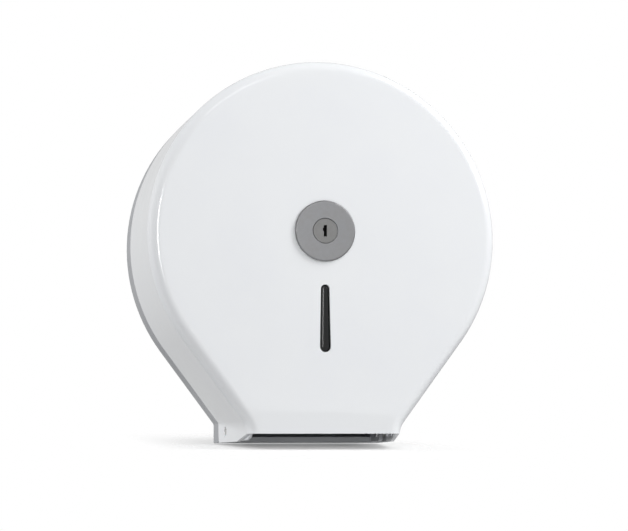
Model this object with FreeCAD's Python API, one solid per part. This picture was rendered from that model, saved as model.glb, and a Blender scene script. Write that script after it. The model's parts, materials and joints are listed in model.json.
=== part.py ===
import FreeCAD, Part
import math
import os
from FreeCAD import Placement, Rotation, Vector

# Jumbo toilet roll dispenser for a wall: a grey moulded tray, a white moulded cover that hinges
# down on two pins near its feet, a turning hub for the roll and a key lock in the cover's middle.
# Millimetres. The origin is the middle of the wall screws, on the wall, on the roll's axis.
# X runs across, Z is up, and the front looks along -Y. "Forward" is a distance off the wall.

# Casing seen from the front
drum_radius = 135.0
drum_drop = 2.5                # the round head's centre lies this far below the roll's axis
neck_half_width = 66.0
neck_height = 14.6
taper_angle = 36.7
crease_radius = 3.0
front_crease_radius = 18.0

# Casing seen from the side
casing_depth = 115.0
tray_depth = 21.5
tray_draft = 0.6
drum_draft = 3.6
neck_draft = 8.8
front_round = 8.0
seam_gap = 0.4

# Walls and general clearances
cover_wall = 2.5
tray_wall = 2.6
back_wall = 2.5
close_gap = 0.05
running_gap = 0.06
loose_gap = 0.3
overrun = 1.0

# Cover: mouth between the feet, and the heel that rolls past the tray
mouth_rise = 5.2
sole_setback = 37.0
slope_setback = 8.0

# Tray: sill, locating lip and ribs
sill_height = 4.5
sill_wall = 2.2
lip_reach = 4.5
lip_root = 7.0
lip_wall = 1.6
lip_gap = 0.8
lip_low_angle = -25.0
rib_depth = 4.5
rib_wall = 2.0
ring_rib_radius = 62.0
rib_margin = 9.0
rib_count = 8

# Wall screws
wall_hole_spacing_x = 140.0
wall_hole_spacing_z = 110.0
wall_hole_radius = 2.75
wall_sink_radius = 5.2
wall_sink_depth = 2.0
wall_boss_radius = 9.0
wall_boss_depth = 4.0

# Hinge
hinge_forward = 43.0
hinge_height = 8.0
hinge_pin_radius = 2.5
hinge_pin_recess = 0.5
pin_head_radius = 4.2
pin_head_wall = 1.6
bush_wall = 1.0
bush_stand = 0.5
ear_wall = 3.4
ear_radius = 7.4
ear_gap = 1.2
ear_root_height = 34.0

# Spindle post and its keeper plate
seat_radius = 33.0
seat_height = 5.0
post_flange_radius = 30.0
post_flange_wall = 3.0
post_radius = 17.0
post_wall = 2.6
post_setback = 27.0
post_screw_circle = 24.5
post_screw_count = 4
gusset_wall = 2.0
keeper_wall = 2.0
keeper_slot_width = 9.2
keeper_slot_rise = 13.0
keeper_slot_drop = 15.4
groove_depth = 0.9

# Roll hub
hub_wall = 2.6
hub_setback = 5.0
hub_flange_radius = 38.0
hub_flange_wall = 2.4
hub_nose = 1.4
hub_skirt_wall = 2.0
hub_skirt_depth = 3.0
hub_web_wall = 2.2
hub_web_gap = 1.2
hub_web_count = 12
hub_bush_wall = 1.5
hub_bush_length = 11.0
hub_bush_setback = 0.6
drag_washer_wall = 1.5
drag_washer_radius = 27.0
thrust_washer_wall = 0.9
thrust_washer_radius = 20.4
circlip_wall = 1.1
circlip_radius = 19.4
circlip_mouth = 9.0

# Lock
escutcheon_radius = 22.7
escutcheon_rise = 2.2
escutcheon_round = 0.9
barrel_radius = 11.2
barrel_flat = 10.3
barrel_length = 21.0
barrel_end_wall = 2.0
barrel_flange_radius = 14.5
barrel_flange_wall = 1.0
lock_boss_radius = 18.0
lock_boss_height = 1.5
lock_washer_radius = 16.5
lock_washer_wall = 0.8
lock_nut_flats = 28.0
lock_nut_wall = 4.0
plug_radius = 9.1
plug_recess = 0.5
plug_ring_gap = 0.45
tail_radius = 4.0
tail_square = 5.0
key_slot_width = 2.3
key_slot_height = 8.4
key_slot_depth = 14.0
key_notch = 0.7
key_notch_height = 2.2
cam_half_length = 11.0
cam_width = 6.4
cam_wall = 3.0
cam_gap = 1.0

# Level window
window_top = 39.6
window_low = 89.6
window_top_radius = 3.25
window_low_radius = 4.1
lens_recess = 0.6
lens_crown = 1.3
lens_gap = 0.12
lens_flange = 2.4
lens_flange_wall = 1.4
retainer_rim = 7.0
retainer_wall = 1.3

# Tear-off cutters inside the feet
cutter_setback = 6.5
cutter_length = 38.5
cutter_height = 16.0
cutter_lift = 0.6
cutter_wall = 2.0
cutter_corner = 8.0
tooth_pitch = 2.4
tooth_depth = 1.2
cutter_screw_inset = 8.0
cutter_screw_lift = 5.2

# Screws
screw_radius = 1.9
screw_head_radius = 3.8
screw_head_wall = 2.2
screw_length = 8.0
small_screw_radius = 0.95
small_screw_head_radius = 2.0
small_screw_head_wall = 1.2
cross_width = 0.9
small_cross_width = 0.5
wall_bite_share = 0.6

# Values that follow from the sizes above
taper = math.radians(taper_angle)
crease_drop = drum_radius * math.sin(taper)
crease_run = (drum_radius * math.cos(taper) - neck_half_width) / math.tan(taper)
foot_level = drum_drop + crease_drop + crease_run + neck_height
mouth_level = foot_level - mouth_rise
hinge_level = hinge_height - foot_level
cover_rear = tray_depth + seam_gap
cover_run = casing_depth - tray_depth
face_inside = casing_depth - cover_wall
seat_depth = back_wall + seat_height
post_front = casing_depth - post_setback
hub_bore = post_radius + running_gap + hub_bush_wall
hub_radius = hub_bore + hub_wall
hub_rear = seat_depth + post_flange_wall + drag_washer_wall
hub_front = post_front - hub_setback
groove_rear = hub_front + thrust_washer_wall + running_gap
barrel_rear = casing_depth - barrel_length
cam_front = post_front - cam_gap
cam_rear = cam_front - cam_wall
sole_end = casing_depth - sole_setback
slope_end = casing_depth - slope_setback
cutter_end = casing_depth - cutter_setback
cutter_start = cutter_end - cutter_length
cutter_low = foot_level - cutter_lift
cutter_top = cutter_low - cutter_height
neck_lean = math.degrees(math.atan2(neck_draft, cover_run))


def point(across, forward, up):
    return Vector(across, -forward, up)


def rod(radius, start, end, across=0, up=0):
    """Round bar along the roll's axis, from one forward distance to another."""
    return Part.makeCylinder(radius, end - start, point(across, start, up), Vector(0, -1, 0))


def ring(outer, inner, start, end, across=0, up=0):
    margin = (end - start) / 2
    hole = rod(inner, start - margin, end + margin, across, up)
    return rod(outer, start, end, across, up).cut(hole)


def cross_rod(radius, start, end, forward, up):
    """Round bar along X."""
    return Part.makeCylinder(radius, end - start, point(start, forward, up), Vector(1, 0, 0))


def block(left, right, start, end, low, high):
    return Part.makeBox(right - left, end - start, high - low, point(left, end, low))


def prism(points, depth_vector):
    """Straight-sided solid swept from a closed outline."""
    return Part.Face(Part.makePolygon(points + points[:1])).extrude(depth_vector)


def mirrored(shape):
    return shape.mirror(Vector(0, 0, 0), Vector(1, 0, 0))


def both_sides(shape):
    return [shape, mirrored(shape)]


def fused(shapes):
    first = shapes[0]
    return first.fuse(shapes[1:]).removeSplitter()


# Casing outline

def casing_wire(radius, neck, crease, foot, forward):
    """Round head, straight tapers tangent to it, hollow creases and an upright neck."""
    run = (radius * math.cos(taper) - neck) / math.tan(taper)
    corner_up = -drum_drop - radius * math.sin(taper) - run
    cut = crease * math.tan(taper / 2)
    head_middle = (math.pi / 2 - taper) / 2

    def side(sign):
        def at(across, up):
            return point(sign * across, forward, up)

        top = at(0, radius - drum_drop)
        shoulder = at(radius * math.cos(head_middle), radius * math.sin(head_middle) - drum_drop)
        tangent = at(radius * math.cos(taper), -radius * math.sin(taper) - drum_drop)
        crease_start = at(neck + cut * math.sin(taper), corner_up + cut * math.cos(taper))
        crease_middle = at(neck + crease - crease * math.cos(taper / 2),
                           corner_up - cut + crease * math.sin(taper / 2))
        crease_end = at(neck, corner_up - cut)
        sole = at(neck, -foot)
        return [
            Part.Arc(top, shoulder, tangent).toShape(),
            Part.makeLine(tangent, crease_start),
            Part.Arc(crease_start, crease_middle, crease_end).toShape(),
            Part.makeLine(crease_end, sole),
        ]

    base = Part.makeLine(point(neck, forward, -foot), point(-neck, forward, -foot))
    return Part.Wire(side(1) + [base] + side(-1)[::-1])


def tray_wire(forward, inset, foot):
    shrink = tray_draft * forward / tray_depth + inset
    return casing_wire(drum_radius - shrink, neck_half_width - shrink,
                       crease_radius + shrink, foot, forward)


def cover_neck(forward):
    """Half width of the cover's neck, outside."""
    return neck_half_width - tray_draft - neck_draft * (forward - tray_depth) / cover_run


def cover_wire(forward, inset, foot):
    share = (forward - tray_depth) / cover_run
    radius = drum_radius - tray_draft - drum_draft * share
    crease = crease_radius + (front_crease_radius - crease_radius) * share
    return casing_wire(radius - inset, cover_neck(forward) - inset, crease + inset, foot, forward)


def skin(rear_wire, front_wire):
    return Part.makeLoft([rear_wire, front_wire], True, True)


def rounded_front(solid, radius, forward, foot):
    """Rounds the edges round the front face, apart from the one along the soles."""
    edges = []
    for edge in solid.Edges:
        box = edge.BoundBox
        on_front = abs(box.YMin + forward) < close_gap and abs(box.YMax + forward) < close_gap
        along_sole = abs(box.ZMax + foot) < close_gap
        if on_front and not along_sole:
            edges.append(edge)
    return solid.makeFillet(radius, edges)


# Screws

def screw(radius, head_radius, head_wall, length, cross):
    """Pan head screw standing on the origin, its shank along -X and its head towards +X."""
    shank = Part.makeCylinder(radius, length, Vector(0, 0, 0), Vector(-1, 0, 0))
    head = Part.makeCylinder(head_radius, head_wall, Vector(0, 0, 0), Vector(1, 0, 0))
    rim = [edge for edge in head.Edges if abs(edge.BoundBox.XMin - head_wall) < close_gap]
    head = head.makeFillet(head_wall / 3, rim)
    reach = head_radius * wall_bite_share
    upright = Part.makeBox(head_wall, cross, 2 * reach, Vector(head_wall / 2, -cross / 2, -reach))
    level = Part.makeBox(head_wall, 2 * reach, cross, Vector(head_wall / 2, -reach, -cross / 2))
    return shank.fuse(head).cut(upright).cut(level).removeSplitter()


def facing_front(shape, across, forward, up):
    """Turns a screw so that its head looks forward and puts it in place."""
    turned = shape.copy()
    turned.Placement = Placement(point(across, forward, up), Rotation(Vector(0, 0, 1), -90))
    return turned


# Tray with its rim, sill, lip, ribs, bosses and hinge ears

def wall_hole_places():
    half_x = wall_hole_spacing_x / 2
    half_z = wall_hole_spacing_z / 2
    return [(x, z) for x in (-half_x, half_x) for z in (-half_z, half_z)]


def post_screw_places():
    step = 2 * math.pi / post_screw_count
    angles = [step * (index + 1 / 2) for index in range(post_screw_count)]
    return [(post_screw_circle * math.cos(a), post_screw_circle * math.sin(a)) for a in angles]


def locating_lip():
    """Stepped ring inside the rim that the closed cover slips over, left open at the neck."""
    rim_inside = drum_radius - tray_draft - tray_wall
    lip_outside = drum_radius - tray_draft - cover_wall - lip_gap
    lip_inside = lip_outside - lip_wall
    outline = [
        point(lip_inside, tray_depth - lip_root, 0),
        point(rim_inside + tray_wall / 2, tray_depth - lip_root, 0),
        point(rim_inside + tray_wall / 2, tray_depth - lip_wall, 0),
        point(lip_outside, tray_depth - lip_wall, 0),
        point(lip_outside, tray_depth + lip_reach, 0),
        point(lip_inside, tray_depth + lip_reach, 0),
    ]
    face = Part.Face(Part.makePolygon(outline + outline[:1]))
    face.rotate(Vector(0, 0, 0), Vector(0, 1, 0), -lip_low_angle)
    body = face.revolve(Vector(0, 0, 0), Vector(0, 1, 0), 2 * lip_low_angle - 180)
    body.translate(Vector(0, 0, -drum_drop))
    return body


def hinge_ear():
    """Arm that stands off the tray's back and ends in an eye round the hinge pin."""
    outside = cover_neck(hinge_forward + ear_radius) - cover_wall - ear_gap
    inside = outside - ear_wall
    top = hinge_level + ear_radius
    arm = prism([
        point(inside, back_wall / 2, -foot_level + tray_wall / 2),
        point(inside, back_wall / 2, -foot_level + ear_root_height),
        point(inside, tray_depth, -foot_level + ear_root_height - (tray_depth - back_wall) / 2),
        point(inside, hinge_forward, top),
        point(inside, hinge_forward, hinge_level - ear_radius),
        point(inside, tray_depth, hinge_level - ear_radius),
        point(inside, tray_depth, -foot_level + tray_wall / 2),
    ], Vector(ear_wall, 0, 0))
    eye = cross_rod(ear_radius, inside, outside, hinge_forward, hinge_level)
    hole = cross_rod(hinge_pin_radius + close_gap, inside - overrun, outside + overrun,
                     hinge_forward, hinge_level)
    return arm.fuse(eye).cut(hole).removeSplitter()


def base_tray():
    body = skin(tray_wire(0, 0, foot_level), tray_wire(tray_depth, 0, foot_level))
    floor_level = foot_level - tray_wall
    body = body.cut(skin(tray_wire(back_wall, tray_wall, floor_level),
                         tray_wire(tray_depth + overrun, tray_wall, floor_level)))
    rib_end = back_wall + rib_depth
    sill_half = cover_neck(hinge_forward) - cover_wall - ear_gap - ear_wall
    added = [
        block(-sill_half, sill_half, tray_depth - sill_wall, tray_depth,
              -foot_level + tray_wall / 2, -foot_level + sill_height),
        locating_lip(),
        rod(seat_radius, back_wall / 2, seat_depth),
        ring(ring_rib_radius + rib_wall, ring_rib_radius, back_wall / 2, rib_end),
    ]
    for index in range(rib_count):
        angle = 360 / rib_count * (index + 1 / 2)
        rib = block(seat_radius - rib_wall, drum_radius - tray_wall - rib_margin,
                    back_wall / 2, rib_end, -rib_wall / 2, rib_wall / 2)
        rib.rotate(Vector(0, 0, 0), Vector(0, 1, 0), angle)
        added.append(rib)
    for x, z in wall_hole_places():
        added.append(rod(wall_boss_radius, back_wall / 2, back_wall + wall_boss_depth, x, z))
    added += both_sides(hinge_ear())
    body = fused([body] + added)
    boss_front = back_wall + wall_boss_depth
    for x, z in wall_hole_places():
        body = body.cut(rod(wall_hole_radius, -overrun, boss_front + overrun, x, z))
        sink = rod(wall_sink_radius, boss_front - wall_sink_depth, boss_front + overrun, x, z)
        body = body.cut(sink)
    pilot_start = seat_depth - screw_length + post_flange_wall - loose_gap
    for x, z in post_screw_places():
        body = body.cut(rod(screw_radius + close_gap, pilot_start, seat_depth + overrun, x, z))
    return body


# Spindle, keeper and roll hub

def spindle_post():
    """Hollow column on a screwed flange, with webs at its foot and a groove for the circlip."""
    flange = rod(post_flange_radius, seat_depth, seat_depth + post_flange_wall)
    tube = rod(post_radius, seat_depth, post_front)
    body = flange.fuse(tube)
    body = body.cut(rod(post_radius - post_wall, seat_depth - overrun, post_front + overrun))
    groove = ring(post_radius + overrun, post_radius - groove_depth,
                  groove_rear, groove_rear + circlip_wall + running_gap)
    body = body.cut(groove)
    for x, z in post_screw_places():
        body = body.cut(rod(screw_radius + close_gap, seat_depth - overrun,
                            seat_depth + post_flange_wall + overrun, x, z))
        body = body.cut(rod(screw_head_radius + loose_gap,
                            seat_depth + post_flange_wall - screw_head_wall / 2,
                            seat_depth + post_flange_wall + overrun, x, z))
    for x in (-1, 1):
        body = body.cut(keeper_pilot(x))
    return body


def keeper_screw_across():
    return post_radius - post_wall / 2


def keeper_pilot(sign):
    return rod(small_screw_radius + close_gap, post_front - screw_length / 2,
               post_front + keeper_wall + overrun, sign * keeper_screw_across())


def spindle_screws():
    seat = seat_depth + post_flange_wall - screw_head_wall / 2
    flat_head = screw_head_wall / 2 - loose_gap
    places = post_screw_places()
    template = screw(screw_radius, screw_head_radius, flat_head,
                     screw_length - post_flange_wall, cross_width)
    return Part.Compound([facing_front(template, x, seat, z) for x, z in places])


def lock_keeper():
    """Plate on the post's end; the upright cam slips through its slot and turns behind it."""
    plate = rod(post_radius, post_front, post_front + keeper_wall)
    half = keeper_slot_width / 2
    slot = block(-half, half, post_front - overrun, post_front + keeper_wall + overrun,
                 -keeper_slot_drop + half, keeper_slot_rise - half)
    ends = [rod(half, post_front - overrun, post_front + keeper_wall + overrun, 0, up)
            for up in (keeper_slot_rise - half, half - keeper_slot_drop)]
    body = plate.cut(fused([slot] + ends))
    for x in (-1, 1):
        body = body.cut(keeper_pilot(x))
    return body


def keeper_screws():
    template = screw(small_screw_radius, small_screw_head_radius * wall_bite_share,
                     small_screw_head_wall / 2, keeper_wall + screw_length / 3, small_cross_width)
    front = post_front + keeper_wall
    return Part.Compound([facing_front(template, sign * keeper_screw_across(), front, 0)
                          for sign in (-1, 1)])


def drag_washer():
    """Felt washer that keeps a light drag on the roll so that it doesn't run on."""
    start = seat_depth + post_flange_wall
    return ring(drag_washer_radius, post_radius + loose_gap, start, start + drag_washer_wall)


def roll_hub():
    """Tube that the core slides on, with a skirted flange braced by webs on its back."""
    tube = rod(hub_radius, hub_rear, hub_front)
    nose = [edge for edge in tube.Edges
            if abs(edge.BoundBox.YMin + hub_front) < close_gap
            and abs(edge.BoundBox.YMax + hub_front) < close_gap]
    tube = tube.makeChamfer(hub_nose, nose)
    flange_middle = hub_rear + hub_flange_wall / 2
    skirt_end = hub_rear - hub_skirt_depth
    added = [
        rod(hub_flange_radius, hub_rear, hub_rear + hub_flange_wall),
        ring(hub_flange_radius, hub_flange_radius - hub_skirt_wall, skirt_end, flange_middle),
    ]
    for index in range(hub_web_count):
        web = block(post_flange_radius + hub_web_gap, hub_flange_radius - hub_skirt_wall / 2,
                    skirt_end, flange_middle, -hub_web_wall / 2, hub_web_wall / 2)
        web.rotate(Vector(0, 0, 0), Vector(0, 1, 0), 360 / hub_web_count * index)
        added.append(web)
    return fused([tube] + added).cut(rod(hub_bore, hub_rear - overrun, hub_front + overrun))


def hub_bush(start):
    return ring(hub_bore - close_gap, post_radius + running_gap, start, start + hub_bush_length)


def thrust_washer():
    return ring(thrust_washer_radius, post_radius + running_gap,
                hub_front, hub_front + thrust_washer_wall)


def hub_circlip():
    """Open spring ring snapped into the post's groove."""
    body = ring(circlip_radius, post_radius - groove_depth + close_gap,
                groove_rear + close_gap, groove_rear + close_gap + circlip_wall)
    mouth = block(-circlip_mouth / 2, circlip_mouth / 2, groove_rear - overrun,
                  groove_rear + circlip_wall + overrun, -post_radius - overrun * 4, 0)
    return body.cut(mouth)


# Hinge pins and bushes

def hinge_pin():
    ear_outside = cover_neck(hinge_forward + ear_radius) - cover_wall - ear_gap
    ear_inside = ear_outside - ear_wall
    tip = cover_neck(hinge_forward) - hinge_pin_recess
    shank = cross_rod(hinge_pin_radius, ear_inside, tip, hinge_forward, hinge_level)
    head = cross_rod(pin_head_radius, ear_inside - pin_head_wall, ear_inside,
                     hinge_forward, hinge_level)
    rim = [edge for edge in head.Edges
           if abs(edge.BoundBox.XMax - ear_inside + pin_head_wall) < close_gap]
    return shank.fuse(head.makeFillet(pin_head_wall / 3, rim)).removeSplitter()


def hinge_bush():
    """Plain bearing in the cover's wall that turns on the pin."""
    outside = cover_neck(hinge_forward) - hinge_pin_recess
    inside = cover_neck(hinge_forward) - cover_wall - bush_stand
    outer = cross_rod(hinge_pin_radius + running_gap + bush_wall, inside, outside,
                      hinge_forward, hinge_level)
    return outer.cut(cross_rod(hinge_pin_radius + running_gap, inside - overrun,
                               outside + overrun, hinge_forward, hinge_level))


# Cover

def window_outline(offset):
    """Slot with round ends, a little wider at its foot than at its head."""
    top_radius = window_top_radius + offset
    low_radius = window_low_radius + offset
    top_up = -window_top - window_top_radius
    low_up = -window_low + window_low_radius
    lean = math.asin((low_radius - top_radius) / (top_up - low_up))
    across = math.cos(lean)
    rise = math.sin(lean)
    right_top = point(top_radius * across, 0, top_up + top_radius * rise)
    right_low = point(low_radius * across, 0, low_up + low_radius * rise)
    left_top = point(-top_radius * across, 0, top_up + top_radius * rise)
    left_low = point(-low_radius * across, 0, low_up + low_radius * rise)
    return Part.Face(Part.Wire([
        Part.Arc(left_top, point(0, 0, top_up + top_radius), right_top).toShape(),
        Part.makeLine(right_top, right_low),
        Part.Arc(right_low, point(0, 0, low_up - low_radius), left_low).toShape(),
        Part.makeLine(left_low, left_top),
    ]))


def window_solid(offset, start, end):
    face = window_outline(offset)
    face.translate(point(0, start, 0))
    return face.extrude(point(0, end - start, 0))


def stake_places():
    gap = (lens_flange + retainer_rim) / 2
    return [-window_top + gap, -window_low - gap]


def on_neck_wall(shape):
    """Lays a shape made about the origin flat against the inside of the right neck wall."""
    moved = shape.copy()
    inside = cover_neck(0) - cover_wall
    moved.Placement = Placement(point(inside, 0, 0), Rotation(Vector(0, 0, 1), -neck_lean))
    return moved


def cutter_screw_places():
    up = cutter_screw_lift - cutter_low
    return [(cutter_start + cutter_screw_inset, up), (cutter_end - cutter_screw_inset, up)]


def cutter_screw_template():
    length = cutter_wall + cover_wall * wall_bite_share
    body = screw(small_screw_radius, small_screw_head_radius, small_screw_head_wall,
                 length, small_cross_width)
    body.rotate(Vector(0, 0, 0), Vector(0, 0, 1), 180)
    body.translate(Vector(-cutter_wall, 0, 0))
    return body


def cover_mouth_cut():
    """Space under the front edge, which slopes down to the soles of the feet."""
    reach = neck_half_width + overrun
    return prism([
        point(-reach, casing_depth + overrun, -mouth_level),
        point(-reach, slope_end, -mouth_level),
        point(-reach, sole_end, -foot_level),
        point(-reach, sole_end, -foot_level - overrun),
        point(-reach, casing_depth + overrun, -foot_level - overrun),
    ], Vector(2 * reach, 0, 0))


def heel_cut():
    """Rounds the rear foot of each side about the hinge, so that it turns clear of the tray."""
    reach = neck_half_width + overrun
    heel_radius = hinge_forward - cover_rear
    corner = block(-reach, reach, tray_depth - overrun, hinge_forward,
                   -foot_level - overrun, hinge_level)
    return corner.cut(cross_rod(heel_radius, -reach - overrun, reach + overrun,
                                hinge_forward, hinge_level))


def front_cover():
    outer = skin(cover_wire(cover_rear, 0, foot_level), cover_wire(casing_depth, 0, foot_level))
    outer = rounded_front(outer, front_round, casing_depth, foot_level)
    deep_foot = foot_level + overrun
    inner = skin(cover_wire(cover_rear - overrun, cover_wall, deep_foot),
                 cover_wire(face_inside, cover_wall, deep_foot))
    inner = rounded_front(inner, front_round - cover_wall, face_inside, deep_foot)
    body = outer.cut(inner)
    boss = rod(lock_boss_radius, face_inside - lock_boss_height, face_inside + cover_wall / 2)
    body = body.fuse(boss)
    body = body.cut(cover_mouth_cut()).cut(heel_cut())
    flat = barrel_flat + close_gap
    hole = rod(barrel_radius + close_gap, face_inside - lock_boss_height - overrun,
               casing_depth + overrun)
    flats = block(-flat, flat, face_inside - lock_boss_height - overrun,
                  casing_depth + overrun, -lock_boss_radius, lock_boss_radius)
    body = body.cut(hole.common(flats))
    body = body.cut(window_solid(0, face_inside - overrun, casing_depth + overrun))
    for up in stake_places():
        body = body.cut(rod(small_screw_radius + close_gap, face_inside - overrun,
                            face_inside + cover_wall * wall_bite_share + close_gap, 0, up))
    bush_outside = hinge_pin_radius + running_gap + bush_wall + close_gap
    hinge_hole = cross_rod(bush_outside, cover_neck(hinge_forward) - 2 * cover_wall,
                           neck_half_width + overrun, hinge_forward, hinge_level)
    for side_hole in both_sides(hinge_hole):
        body = body.cut(side_hole)
    pilot_depth = cover_wall * wall_bite_share + close_gap
    for forward, up in cutter_screw_places():
        pilot = Part.makeCylinder(small_screw_radius + close_gap, pilot_depth + overrun,
                                  point(-overrun, forward, up), Vector(1, 0, 0))
        for side_pilot in both_sides(on_neck_wall(pilot)):
            body = body.cut(side_pilot)
    return body.removeSplitter()


# Lock

def lock_escutcheon():
    """Round plate on the cover's face with a pocket behind it for the barrel's flange."""
    front = casing_depth + escutcheon_rise
    plate = rod(escutcheon_radius, casing_depth, front)
    rim = [edge for edge in plate.Edges
           if abs(edge.BoundBox.YMin + front) < close_gap
           and abs(edge.BoundBox.YMax + front) < close_gap]
    plate = plate.makeFillet(escutcheon_round, rim)
    plate = plate.cut(rod(plug_radius + plug_ring_gap, casing_depth - overrun, front + overrun))
    return plate.cut(rod(barrel_flange_radius + close_gap, casing_depth - overrun,
                         casing_depth + barrel_flange_wall + close_gap))


def lock_barrel():
    front = casing_depth + barrel_flange_wall
    body = rod(barrel_radius, barrel_rear, front)
    flats = block(-barrel_flat, barrel_flat, barrel_rear - overrun, front + overrun,
                  -barrel_flange_radius, barrel_flange_radius)
    body = body.common(flats).fuse(rod(barrel_flange_radius, casing_depth, front))
    body = body.cut(rod(plug_radius + running_gap, barrel_rear + barrel_end_wall, front + overrun))
    return body.cut(rod(tail_radius + running_gap, barrel_rear - overrun, front)).removeSplitter()


def lock_washer():
    end = face_inside - lock_boss_height
    return ring(lock_washer_radius, barrel_radius + close_gap, end - lock_washer_wall, end)


def lock_nut():
    end = face_inside - lock_boss_height - lock_washer_wall
    start = end - lock_nut_wall
    corner = lock_nut_flats / math.sqrt(3)
    corners = []
    for index in range(6):
        angle = math.pi / 3 * index
        corners.append(point(corner * math.cos(angle), start, corner * math.sin(angle)))
    body = prism(corners, point(0, lock_nut_wall, 0))
    return body.cut(rod(barrel_radius + close_gap, start - overrun, end + overrun))


def lock_plug():
    """Key plug with its upright keyway in front and a squared tail for the cam."""
    front = casing_depth + escutcheon_rise - plug_recess
    shoulder = barrel_rear + barrel_end_wall + running_gap
    body = rod(plug_radius, shoulder, front)
    body = body.fuse(rod(tail_radius, cam_front, shoulder + overrun))
    half = tail_square / 2
    body = body.fuse(block(-half, half, cam_rear, cam_front + overrun, -half, half))
    half_width = key_slot_width / 2
    half_height = key_slot_height / 2
    keyway = block(-half_width, half_width, front - key_slot_depth, front + overrun,
                   -half_height, half_height)
    notch = block(-half_width - key_notch, 0, front - key_slot_depth, front + overrun,
                  0, key_notch_height)
    body = body.cut(keyway).cut(notch)
    pilot = rod(small_screw_radius + close_gap, cam_rear - overrun, cam_rear + screw_length)
    return body.cut(pilot).removeSplitter()


def lock_cam():
    """Two-ended tongue, upright while the lock is open."""
    half = cam_width / 2
    bar = block(-half, half, cam_rear, cam_front, half - cam_half_length, cam_half_length - half)
    body = fused([bar] + [rod(half, cam_rear, cam_front, 0, sign * (cam_half_length - half))
                          for sign in (-1, 1)])
    hole = tail_square / 2 + close_gap
    return body.cut(block(-hole, hole, cam_rear - overrun, cam_front + overrun, -hole, hole))


def cam_screw():
    template = screw(small_screw_radius, screw_head_radius, small_screw_head_wall,
                     screw_length - overrun, small_cross_width)
    template.Placement = Placement(point(0, cam_rear, 0), Rotation(Vector(0, 0, 1), 90))
    return template


# Level window

def level_window():
    """Smoked lens, crowned in front, that fills the slot and is held by a flange behind it."""
    front = casing_depth - lens_recess
    lens = window_solid(-lens_gap, face_inside - close_gap, front)
    rim = [edge for edge in lens.Edges
           if abs(edge.BoundBox.YMin + front) < close_gap
           and abs(edge.BoundBox.YMax + front) < close_gap]
    lens = lens.makeFillet(lens_crown, rim)
    flange = window_solid(lens_flange, face_inside - lens_flange_wall, face_inside)
    return lens.fuse(flange).removeSplitter()


def window_retainer():
    end = face_inside
    middle = face_inside - lens_flange_wall
    body = window_solid(retainer_rim, middle - retainer_wall, end)
    body = body.cut(window_solid(lens_flange + lens_gap, middle, end + overrun))
    body = body.cut(window_solid(0, middle - retainer_wall - overrun, middle + overrun))
    for up in stake_places():
        body = body.cut(rod(small_screw_radius + close_gap, middle - retainer_wall - overrun,
                            end + overrun, 0, up))
    return body


def window_stakes():
    seat = face_inside - lens_flange_wall - retainer_wall
    length = face_inside - seat + cover_wall * wall_bite_share
    stakes = []
    for up in stake_places():
        head = rod(small_screw_head_radius, seat - small_screw_head_wall, seat, 0, up)
        rim = [edge for edge in head.Edges
               if abs(edge.BoundBox.YMax + seat - small_screw_head_wall) < close_gap]
        head = head.makeFillet(small_screw_head_wall / 2, rim)
        shank = rod(small_screw_radius, seat, seat + length, 0, up)
        stakes.append(head.fuse(shank).removeSplitter())
    return Part.Compound(stakes)


# Tear-off cutters

def cutter_outline():
    """Plate with a round front foot and saw teeth along its sole."""
    flat_end = cutter_end - cutter_corner
    tooth_count = int((flat_end - cutter_start) / tooth_pitch)
    root = -cutter_low + tooth_depth
    toothed_end = cutter_start + tooth_count * tooth_pitch
    points = [point(0, cutter_start, root)]
    for index in range(tooth_count):
        points.append(point(0, cutter_start + (index + 1 / 2) * tooth_pitch, -cutter_low))
        points.append(point(0, cutter_start + (index + 1) * tooth_pitch, root))
    edges = [Part.makeLine(points[index], points[index + 1]) for index in range(len(points) - 1)]
    arc_start = point(0, flat_end, root)
    arc_end = point(0, cutter_end, root + cutter_corner)
    arc_middle = point(0, flat_end + cutter_corner * math.sin(math.pi / 4),
                       root + cutter_corner * (1 - math.cos(math.pi / 4)))
    if flat_end - toothed_end > close_gap:
        edges.append(Part.makeLine(points[-1], arc_start))
    front_top = point(0, cutter_end, -cutter_top)
    rear_top = point(0, cutter_start, -cutter_top)
    edges.append(Part.Arc(arc_start, arc_middle, arc_end).toShape())
    edges.append(Part.makeLine(arc_end, front_top))
    edges.append(Part.makeLine(front_top, rear_top))
    edges.append(Part.makeLine(rear_top, points[0]))
    return Part.Face(Part.Wire(edges))


def tear_cutter():
    body = cutter_outline().extrude(Vector(-cutter_wall, 0, 0))
    for forward, up in cutter_screw_places():
        hole = Part.makeCylinder(small_screw_radius + close_gap, cutter_wall + 2 * overrun,
                                 point(overrun, forward, up), Vector(-1, 0, 0))
        body = body.cut(hole)
    return on_neck_wall(body)


def cutter_screws():
    screws = []
    for forward, up in cutter_screw_places():
        one = cutter_screw_template()
        one.translate(point(0, forward, up))
        holder = Part.Compound([one])
        screws += both_sides(on_neck_wall(holder))
    return Part.Compound([solid for group in screws for solid in group.Solids])


# Writing the pieces out

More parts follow.
